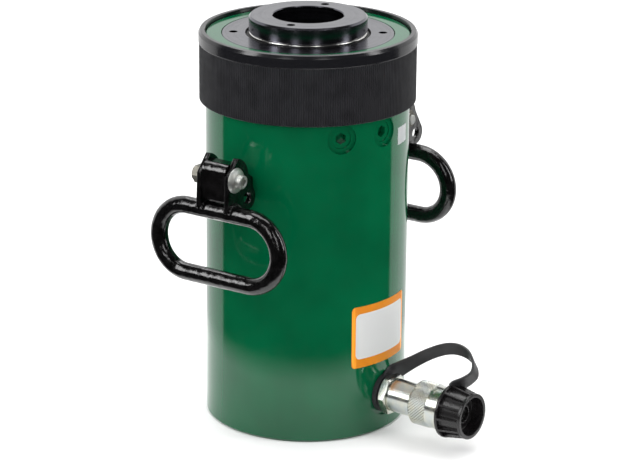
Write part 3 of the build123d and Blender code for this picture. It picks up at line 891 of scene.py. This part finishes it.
@dataclass
class Stickers:
    """The two stickers on the body's wall, both bare."""

    film: float = 0.12
    columns: int = 48

    def build(self) -> None:
        """Lay the orange and white sticker over the coupler and the foil one near the handle."""
        print_size = (STICKER.width, STICKER.height)
        self.lay("orange_sticker", STICKER, print_size, middle=-3.3, bottom=58.5, corner=3.2)
        self.lay("foil_sticker", FOIL, (16.6, 13.6), middle=14.5, bottom=231.0, corner=0.8)

    def lay(
        self,
        name: str,
        finish: Finish,
        size: Point,
        middle: float,
        bottom: float,
        corner: float,
    ) -> None:
        """Bend a rounded rectangle of film round the body.

        Args:
            name: The piece's name.
            finish: The finish it takes.
            size: Its width along the wall and its height, in mm.
            middle: The angle of its middle from the coupler's direction, towards +X.
            bottom: The height of its lower edge.
            corner: The radius of its corners.
        """
        width, height = size
        bm = bmesh.new()
        bmesh.ops.create_grid(bm, x_segments=1, y_segments=1, size=0.5)
        bmesh.ops.transform(bm, matrix=Matrix.Diagonal((width, height, 1, 1)), verts=bm.verts)
        bmesh.ops.bevel(
            bm, geom=bm.verts[:], offset=corner, segments=5, profile=0.5, affect="VERTICES", material=-1
        )
        for i in range(1, self.columns):
            every = bm.verts[:] + bm.edges[:] + bm.faces[:]
            cut = (width * (i / self.columns - 0.5), 0, 0)
            bmesh.ops.bisect_plane(bm, geom=every, plane_co=cut, plane_no=(1, 0, 0))
        uv = bm.loops.layers.uv.new("film")
        for face in bm.faces:
            for loop in face.loops:
                loop[uv].uv = (loop.vert.co.x + width / 2, loop.vert.co.y + height / 2)
        for vert in bm.verts:
            angle = math.radians(middle) + vert.co.x / BODY_RADIUS
            level = bottom + height / 2 + vert.co.y
            vert.co = Vector((math.sin(angle), -math.cos(angle), 0)) * (BODY_RADIUS + self.film) * MM
            vert.co.z = level * MM
        bmesh.ops.solidify(bm, geom=bm.faces[:], thickness=self.film * 0.9 * MM)
        bmesh.ops.recalc_face_normals(bm, faces=bm.faces)
        piece(bm, name, Body.CYLINDER, finish)


@dataclass
class FlangedBolt:
    """A socket bolt with a domed flange, drawn along Z with its flange's underside at zero."""

    shank: float = 4.0
    chamfer: float = 0.6
    reach: float = 8.1
    flange: float = 9.8
    flange_edge: float = 0.5
    dome: tuple[Point, Point, Point] = ((9.3, 1.5), (7.9, 2.7), (5.8, 3.4))
    neck: tuple[Point, Point] = ((5.3, 3.9), (5.1, 4.6))
    head: float = 5.1
    head_edge: float = 0.6
    height: float = 7.8
    socket: float = 3.1
    depth: float = 4.4
    flat: float = 0.93

    def turned(self, grip: float) -> BMesh:
        """Turn the bolt and press the hexagon socket into its head.

        Args:
            grip: The width that it holds together, in mm.

        Returns:
            The bolt's mesh in metres.
        """
        end = -(grip + self.reach)
        profile = (
            (0, end),
            (self.shank - self.chamfer, end),
            (self.shank, end + self.chamfer),
            (self.shank, 0),
            (self.flange - 0.3, 0),
            *arc((self.flange - self.flange_edge, self.flange_edge), self.flange_edge, -60, 45, 4),
            *arc_through(*self.dome, 6),
            *self.neck,
            *arc((self.head - self.head_edge, self.height - self.head_edge), self.head_edge, 0, 90, 4),
            (self.socket + 0.5, self.height),
            (self.socket, self.height - 0.4),
            (self.socket, self.height - self.depth),
            (0, self.height - self.depth - 0.6),
        )
        bm = lathe(profile, 96)
        for vert in bm.verts:
            if abs(vert.co.xy.length - self.socket * MM) < 1e-5:
                turn = math.atan2(vert.co.y, vert.co.x) % (math.pi / 3) - math.pi / 6
                vert.co.xy *= self.flat / math.cos(turn)
        return bm


@dataclass
class LiftingHandle:
    """A bent bar under two ears, bolted to a lug of the body."""

    side: Side
    pivot: tuple[float, float] = (108.6, 218.8)
    twist: float = 3.6
    hangs: tuple[float, float] = (1.6, 3.0)
    ear_inner: float = 10.9
    ear_thickness: float = 4.0
    ear_edge: float = 1.0
    ear_back: tuple[Point, Point] = ((-9.3, -24.0), (-8.6, 3.5))
    ear_crown: tuple[Point, Point, Point] = ((2.5, 16.4), (13.4, 11.0), (17.6, 2.0))
    bar_radius: float = 6.8
    bar_drop: float = 27.1
    lobe: Point = (18.0, -18.0)
    lobe_radius: float = 9.5
    lobe_hole: Point = (16.4, -17.4)
    lobe_hole_radius: float = 4.0
    bolt_hole: float = 4.05
    bead: float = 1.9
    low_bead: float = 0.8
    ear_seam: tuple[float, float] = (168.0, 8.0)
    lug_bead: float = 1.8
    lug_seam: tuple[float, float] = (-6.4, 6.4)
    lug_seam_heights: tuple[float, float] = (212.6, 200.9)

    def frame_at(self, across: float) -> Matrix:
        """The hanging plane's frame, moved along the bolt.

        Args:
            across: How far it is moved from the handle's middle, in mm.

        Returns:
            The frame in metres, with its Z along the bolt and the bar below it.
        """
        turn = math.radians(self.twist)
        lean = math.radians(self.hangs[0] if self.side is Side.LEFT else -self.hangs[1])
        level = Vector((math.cos(turn), math.sin(turn), 0))
        outward = Vector((math.sin(turn), -math.cos(turn), 0))
        upright = Vector((0, 0, 1))
        x_axis = level * math.cos(lean) - upright * math.sin(lean)
        y_axis = level * math.sin(lean) + upright * math.cos(lean)
        place = Matrix((x_axis, y_axis, outward)).transposed().to_4x4()
        middle = Vector((self.side.value * self.pivot[0], 0, self.pivot[1]))
        place.translation = (middle + outward * across) * MM
        return place

    def outline(self) -> list[Point]:
        """The ear's outline: a straight back, a leaning crown and a round lobe."""
        lobe = arc(self.lobe, self.lobe_radius, 30, -90, 20)
        return [*self.ear_back, *arc_through(*self.ear_crown, 12), *lobe, (0.0, -self.bar_drop)]

    def build(self) -> None:
        """Make the ears, the bolt and the welds, and dress the bar, the lug and the nut."""
        word = self.side.word
        rounds = ((self.lobe_hole, self.lobe_hole_radius), ((0, 0), self.bolt_hole))
        holes = [circle(middle, radius, 48) for middle, radius in rounds]
        outer = self.ear_inner + self.ear_thickness
        # The right handle swings in under its lug, so its beads between the ears are low
        inner_bead = self.bead if self.side is Side.LEFT else self.low_bead
        faces = (("outer", outer, self.bead), ("inner", self.ear_inner, inner_bead))
        for place, direction in (("front", 1), ("rear", -1)):
            bm = plate(self.outline(), holes, self.ear_thickness, self.ear_edge)
            where = self.frame_at(direction * (self.ear_inner + self.ear_thickness / 2))
            name = f"{word}_handle_{place}_ear"
            piece(bm, f"{word}_{place}_ear", self.side.body, BLACK_ENAMEL, [name], where)
            for seed, (face, across, bead) in enumerate(faces):
                self.ear_weld(f"{word}_{place}_{face}_weld", direction * across, bead, seed + 2.0 * direction)
        for edge, height in zip(("upper", "lower"), self.lug_seam_heights):
            self.lug_weld(f"{word}_{edge}_lug_weld", height)
        self.bolt(outer)
        dress(BLACK_ENAMEL, f"{word}_handle_grip", f"{word}_handle_lug")
        dress(LOCK_NUT_ZINC, f"{word}_handle_nut")

    def ear_weld(self, name: str, across: float, bead: float, seed: float) -> None:
        """Lay a bead over the bar where a face of an ear stands on it.

        Args:
            name: The piece's name.
            across: How far the face is from the handle's middle, in mm.
            bead: The bead's mean radius in mm.
            seed: What makes its lumps its own.
        """
        reach = self.bar_radius + bead * 0.32
        bm = weld_bead(Vector((0, -self.bar_drop, 0)), reach, spread(*self.ear_seam, 48), bead, seed)
        piece(bm, name, self.side.body, BLACK_ENAMEL, place=self.frame_at(across), limit=60)

    def lug_weld(self, name: str, height: float) -> None:
        """Lay a bead along the seam between the lug and the body.

        Args:
            name: The piece's name.
            height: The seam's height in mm, which also makes its lumps its own.
        """
        turns = spread(*self.lug_seam, 32)
        middle = Vector((0, 0, height))
        bm = weld_bead(middle, BODY_RADIUS + 0.3, turns, self.lug_bead, height, self.side.value)
        piece(bm, name, Body.CYLINDER, BLACK_ENAMEL, limit=60)

    def bolt(self, outer: float) -> None:
        """Put in the bolt, its head towards the coupler on the left handle and away on the right.

        Args:
            outer: How far the ears' outer faces are from the handle's middle, in mm.
        """
        flip = UPRIGHT if self.side is Side.LEFT else Matrix.Rotation(math.pi, 4, "Y")
        where = self.frame_at(-self.side.value * outer) @ flip
        name, node = f"{self.side.word}_flanged_bolt", f"{self.side.word}_handle_bolt"
        bm = FlangedBolt().turned(2 * outer)
        piece(bm, name, self.side.body, FASTENER_ZINC, [node], where)


@dataclass
class QuickCoupler:
    """The zinc plated coupler: its knurled sleeve and its valve's spring are made anew."""

    start: float = 112.3
    end: float = 148.5
    knurl_end: float = 129.0
    radius: float = 17.6
    front_radius: float = 17.0
    bore: float = 11.65
    mouth: float = 14.4
    lip: float = 118.3
    teeth: int = 44
    rows: int = 60
    depth: float = 0.85
    notch_start: float = 131.0
    notch_end: float = 136.5
    notch_depth: float = 0.9
    notch_turn: float = 112.0
    notch_half: float = 17.0

    def build(self) -> None:
        """Turn the sleeve with fine rows, press its knurl and notches, and dress the rest."""
        first, last = self.start + 1.5, self.knurl_end - 0.6
        knurled = [(self.radius, along) for along in spread(first, last, self.rows)]
        profile = (
            (self.bore, self.start),
            (self.radius - 1.6, self.start),
            *knurled,
            (self.radius - 0.5, self.knurl_end - 0.1),
            (self.front_radius, self.knurl_end),
            (self.front_radius, self.notch_start - 0.2),
            (self.front_radius, self.notch_start),
            (self.front_radius, self.notch_end),
            (self.front_radius, self.notch_end + 0.2),
            (self.front_radius, self.end - 0.5),
            (self.front_radius - 0.5, self.end),
            (self.mouth + 0.4, self.end),
            (self.mouth, self.end - 0.4),
            (self.mouth, self.lip),
            (self.bore, self.lip),
        )
        bm = lathe(profile, self.teeth * 8)
        for vert in bm.verts:
            radius = vert.co.xy.length
            along = vert.co.z / MM
            angle = math.atan2(vert.co.y, vert.co.x)
            by_notch = self.notch_start - 0.1 < along < self.notch_end + 0.1
            if radius > (self.radius - 0.01) * MM and first <= along <= last:
                # The teeth slant at 45 degrees, deeply one way and lightly the other
                turn = angle * self.teeth
                rise = (along - first) / self.radius * self.teeth
                cut = 0.5 - 0.4 * math.cos(turn + rise) - 0.1 * math.cos(turn - rise)
                vert.co.xy *= 1 - self.depth * cut * MM / radius
            elif by_notch and radius > (self.front_radius - 0.01) * MM:
                turn = abs(math.cos(angle - math.radians(self.notch_turn)))
                if turn > math.cos(math.radians(self.notch_half)):
                    vert.co.xy *= 1 - self.notch_depth * MM / radius
        node = "coupler_sleeve"
        piece(bm, "knurled_sleeve", Body.SLEEVE, COUPLER_ZINC, [node], COUPLER, limit=40)
        dress(COUPLER_ZINC, "coupler_body")
        dress(HONED_STEEL, "coupler_poppet")
        dress(SPRING_STEEL, "sleeve_snap_ring")
        shortening_spring("valve_coil", "coupler_valve_spring")


@dataclass
class DustCap:
    """The moulded cap: a tapered core with twelve ribs, a rim behind and a ring in front."""

    start: float = 141.0
    bore: float = 17.3
    rim: float = 21.4
    rim_end: float = 143.4
    rear: float = 18.0
    front: float = 16.2
    ring: float = 18.1
    ring_start: float = 160.0
    end: float = 162.6
    recess: float = 15.2
    floor: float = 151.4
    seat: float = 149.0
    boss_foot: float = 8.4
    boss_end: float = 154.8
    plug: Point = (6.1, 7.7)
    plug_start: float = 137.0
    ribs: int = 12
    rib_width: float = 2.3
    rounding: float = 0.45

    def build(self) -> None:
        """Turn the core, stand the ribs round it and round every edge."""
        inner, outer = self.plug
        profile = (
            (self.bore, self.start),
            (self.rim, self.start),
            (self.rim, self.rim_end),
            (self.rear, self.rim_end + 0.2),
            (self.front, self.ring_start),
            (self.ring, self.ring_start + 0.1),
            (self.ring, self.end),
            (self.recess, self.end),
            (self.recess - 0.3, self.floor),
            (self.boss_foot, self.floor),
            (outer, self.boss_end),
            (inner, self.boss_end),
            (inner - 0.1, self.floor),
            (0, self.floor),
            (0, self.seat),
            (inner, self.seat),
            (inner, self.plug_start),
            (outer, self.plug_start),
            (outer, self.seat),
            (self.bore, self.seat),
        )
        bm = lathe(profile, 96)
        soften(bm, self.rounding, 3)
        for i in range(self.ribs):
            self.rib(bm, math.tau * i / self.ribs)
        bmesh.ops.recalc_face_normals(bm, faces=bm.faces)
        piece(bm, "moulded_cap", Body.CAP, CAP_PLASTIC, ["dust_cap"], COUPLER)

    def rib(self, bm: BMesh, turn: float) -> None:
        """Add one rib, a block that tapers from the rim to the front ring.

        Args:
            bm: The cap's mesh.
            turn: Where round the cap it stands, in radians.
        """
        made = bmesh.ops.create_cube(bm, size=1.0)["verts"]
        for vert in made:
            ahead, out, left = (value > 0 for value in (vert.co.z, vert.co.x, vert.co.y))
            crest, foot = (self.ring, self.front - 0.8) if ahead else (self.rim - 0.1, self.rear - 0.8)
            half = self.rib_width / 2 * (0.85 if out else 1.0)
            height = self.ring_start + 0.5 if ahead else self.rim_end - 0.5
            vert.co = Vector((crest if out else foot, half if left else -half, height)) * MM
        edges = {e for v in made for e in v.link_edges}
        offset = self.rounding * MM
        rounded = bmesh.ops.bevel(
            bm, geom=list(edges), offset=offset, segments=2, profile=0.5, affect="EDGES", material=-1
        )
        whole = {v for f in rounded["faces"] for v in f.verts}
        whole |= {v for f in list(rounded["faces"]) for e in f.edges for g in e.link_faces for v in g.verts}
        bmesh.ops.rotate(bm, cent=(0, 0, 0), matrix=Matrix.Rotation(turn, 3, "Z"), verts=list(whole))


@dataclass
class Tether:
    """The cap's strap: moulded flat with the ring, it arches over the coupler to the cap's rim."""

    width: float = 9.8
    thickness: float = 2.1
    edge: float = 0.6

    # Distance along the coupler, height and sideways place of the strap's middle, the turn of its
    # width in degrees from level, and its widening, in mm from the coupler's axis.
    course = (
        (79.6, 8.0, 6.2, 40, 2.45),
        (79.8, 12.0, 9.2, 42, 2.3),
        (81.4, 14.8, 11.2, 48, 1.9),
        (86.0, 18.2, 13.2, 60, 1.45),
        (94.0, 23.8, 16.4, 74, 1.12),
        (106.0, 31.8, 22.2, 84, 1.0),
        (118.0, 37.3, 26.6, 86, 1.0),
        (129.0, 39.0, 28.2, 82, 1.0),
        (139.5, 37.2, 27.0, 70, 1.0),
        (148.0, 32.2, 22.8, 52, 1.0),
        (151.3, 26.8, 17.8, 38, 1.2),
        (148.5, 22.6, 13.4, 31, 1.65),
        (143.4, 18.8, 9.8, 27, 2.35),
        (142.0, 16.4, 8.4, 27, 2.55),
    )

    def build(self) -> None:
        """Sweep the strap through its course, bake its place into its mesh, and dress its ring."""
        half, thick = self.width / 2 - self.edge, self.thickness / 2 - self.edge
        section = [
            (x * half + dx, y * thick + dy)
            for x, y, start in ((1, 1, 0), (-1, 1, 90), (-1, -1, 180), (1, -1, 270))
            for dx, dy in arc((0, 0), self.edge, start, start + 90, 3)
        ]
        bm = sweep(section, self.stations(6))
        node = "cap_strap"
        strap = piece(bm, "moulded_strap", None, TETHER_PLASTIC, [node], COUPLER, limit=50)
        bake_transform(strap)
        dress(TETHER_PLASTIC, "strap_ring")

    def stations(self, between: int) -> list[tuple[Matrix, float]]:
        """The strap's frames along a smooth line through its course.

        Args:
            between: How many stations go in each stretch.

        Returns:
            Each station's frame, with its X across the strap, and its widening.
        """
        rows = [self.course[0], *self.course, self.course[-1]]
        places: list[tuple[Vector, float, float]] = []
        for i in range(1, len(rows) - 2):
            a, b, c, d = (Vector(row) for row in rows[i - 1 : i + 3])
            for step in range(between):
                t = step / between
                mixed = [
                    0.5 * (2 * b[k] + (c[k] - a[k]) * t + (2 * a[k] - 5 * b[k] + 4 * c[k] - d[k]) * t * t
                    + (3 * b[k] - a[k] - 3 * c[k] + d[k]) * t ** 3)
                    for k in range(5)
                ]
                places.append((Vector((mixed[2], mixed[1], mixed[0])), mixed[3], mixed[4]))
        frames = []
        for i, (place, turn, widening) in enumerate(places):
            ahead = (places[min(i + 1, len(places) - 1)][0] - places[max(i - 1, 0)][0]).normalized()
            across = Vector((math.cos(math.radians(turn)), -math.sin(math.radians(turn)), 0))
            across = (across - ahead * across.dot(ahead)).normalized()
            up = ahead.cross(across)
            made = Matrix((across, up, ahead)).transposed().to_4x4()
            made.translation = place
            frames.append((made, widening))
        return frames


@dataclass
class Ram:
    """The plunger, its saddle, the gland and everything inside the body."""

    def build(self) -> None:
        """Give every part its finish, and make the return spring anew."""
        dress(GREEN_ENAMEL, "cylinder_body", "vent_plug", "bleed_plug")
        dress(BLACK_OXIDE, "gland_ring", "saddle")
        dress(HARD_CHROME, "plunger")
        dress(HONED_STEEL, "center_tube")
        dress(BRONZE, "gland_bearing")
        shortening_spring("return_coil", "return_spring")
        dress(NITRILE, "rod_wiper", "center_tube_seal")
        dress(URETHANE, "piston_seal", "piston_wear_ring", "tube_lip_seal")


@dataclass
class Studio:
    """A white table under soft light, and the camera."""

    distance: float = 2200.0
    elevation: float = 18.11
    heading: float = 52.38
    lens: float = 160.47
    aim: float = 162.0
    pitch: float = -0.42
    yaw: float = -0.12
    roll: float = 0.42
    table: float = 0.235

    @property
    def away(self) -> Vector:
        """The level direction from the camera to the object."""
        turn = math.radians(self.heading)
        return Vector((math.sin(turn), math.cos(turn), 0))

    def build(self) -> None:
        """Set up camera, floor, lights and sky."""
        self.camera()
        self.floor()
        right = Vector((self.away.y, -self.away.x, 0))
        up = Vector((0, 0, 1))
        self.softbox("top_light", self.away * 0.5 + up * 1.9, 1.5, 1.5, 24)
        self.softbox("left_light", -right * 1.7 - self.away * 0.7 + up * 1.3, 0.5, 1.5, 16)
        self.softbox("right_light", right * 1.9 - self.away * 0.4 + up * 1.0, 0.4, 1.5, 11)
        self.softbox("front_left_light", -right * 0.65 - self.away * 1.45 + up * 1.0, 0.35, 0.9, 3.5)
        self.softbox("front_right_light", right * 0.45 - self.away * 1.5 + up * 1.0, 0.3, 0.9, 3)
        self.sky()

    def camera(self) -> None:
        """Stand the camera where the photograph was taken from."""
        data = bpy.data.cameras.new("camera")
        data.lens = self.lens
        data.sensor_width = 36
        data.sensor_fit = "HORIZONTAL"
        data.clip_start = 0.05
        data.clip_end = 50
        stand = place_in_scene("camera", data)
        rise = math.radians(self.elevation)
        back = -self.away * math.cos(rise) + Vector((0, 0, math.sin(rise)))
        turned = (-back).to_track_quat("-Z", "Y").to_matrix().to_4x4()
        for angle, axis in ((self.yaw, "Y"), (self.pitch, "X"), (self.roll, "Z")):
            turned = turned @ Matrix.Rotation(math.radians(angle), 4, axis)
        place = (Vector((0, 0, self.aim)) + back * self.distance) * MM
        stand.matrix_world = Matrix.Translation(place) @ turned
        bpy.context.scene.camera = stand

    def floor(self) -> None:
        """Lay a broad pale floor."""
        bm = bmesh.new()
        bmesh.ops.create_circle(bm, cap_ends=True, radius=4.0, segments=96)
        mesh = bpy.data.meshes.new("floor")
        bm.to_mesh(mesh)
        bm.free()
        ground = place_in_scene("floor", mesh)
        mesh.materials.append(self.paper())

    def paper(self) -> Material:
        """White paper, whose far part is left out of reflections as if the table ended there.

        Returns:
            The floor's material.
        """
        material, tree, shader = surface("floor_paper")
        feed(tree, shader, {"Base Color": linear("F6F6F6"), "Roughness": 0.8})
        reach = vector_math(tree, "LENGTH", add(tree, "TexCoord").outputs["Object"])
        edge = {"Value": reach, "From Min": self.table - 0.03, "From Max": self.table + 0.03}
        beyond = add(tree, "MapRange", edge).outputs["Result"]
        glossy = add(tree, "LightPath").outputs["Is Glossy Ray"]
        gone = add(tree, "Math", {0: beyond, 1: glossy}, operation="MULTIPLY").outputs["Value"]
        clear = add(tree, "BsdfTransparent").outputs["BSDF"]
        mixed = add(tree, "MixShader", {"Fac": gone, 1: shader.outputs["BSDF"], 2: clear})
        add(tree, "OutputMaterial", {"Surface": mixed.outputs["Shader"]}, is_active_output=True)
        return material

    def softbox(self, name: str, place: Vector, width: float, height: float, power: float) -> None:
        """Hang a soft light that faces the object.

        Args:
            name: The light's name.
            place: Where its middle hangs, in metres.
            width: Its width in metres.
            height: Its height in metres.
            power: Its power in watts.
        """
        data = bpy.data.lights.new(name, "AREA")
        data.shape = "RECTANGLE"
        data.size = width
        data.size_y = height
        data.energy = power
        box = place_in_scene(name, data)
        box.location = place
        box.rotation_euler = (Vector((0, 0, 0.16)) - place).to_track_quat("-Z", "Y").to_euler()

    def sky(self) -> None:
        """Surround the object with a bright backdrop and a dim front of the room."""
        world = bpy.data.worlds.new("studio")
        bpy.context.scene.world = world
        world.use_nodes = True
        tree = world.node_tree
        tree.nodes.clear()
        place = add(tree, "TexCoord").outputs["Generated"]
        facing = vector_math(tree, "DOT_PRODUCT", place, self.away)
        levels = {"Value": facing, "From Min": 0.32, "From Max": 0.36, "To Min": 0.02, "To Max": 1.05}
        behind = add(tree, "MapRange", levels, interpolation_type="SMOOTHSTEP").outputs["Result"]
        rays = add(tree, "LightPath")
        seen = {0: rays.outputs["Is Camera Ray"], 1: rays.outputs["Is Diffuse Ray"]}
        plain = add(tree, "Math", seen, operation="MAXIMUM").outputs["Value"]
        strengths = {"Factor": plain, "A": behind, "B": 1.0}
        strength = add(tree, "Mix", strengths, data_type="FLOAT").outputs["Result"]
        light = add(tree, "Background", {"Color": (1, 1, 1, 1), "Strength": strength})
        add(tree, "OutputWorld", {"Surface": light.outputs["Background"]})
        bpy.context.scene.view_settings.view_transform = "Standard"


def main() -> None:
    """Build every sub-assembly in turn."""
    logging.basicConfig(level=logging.INFO, format="%(name)s %(message)s")
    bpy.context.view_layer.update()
    Studio().build()
    Ram().build()
    ThreadProtector().build()
    Stickers().build()
    for side in Side:
        LiftingHandle(side).build()
    QuickCoupler().build()
    DustCap().build()
    Tether().build()


if __name__ == "__main__":
    main()
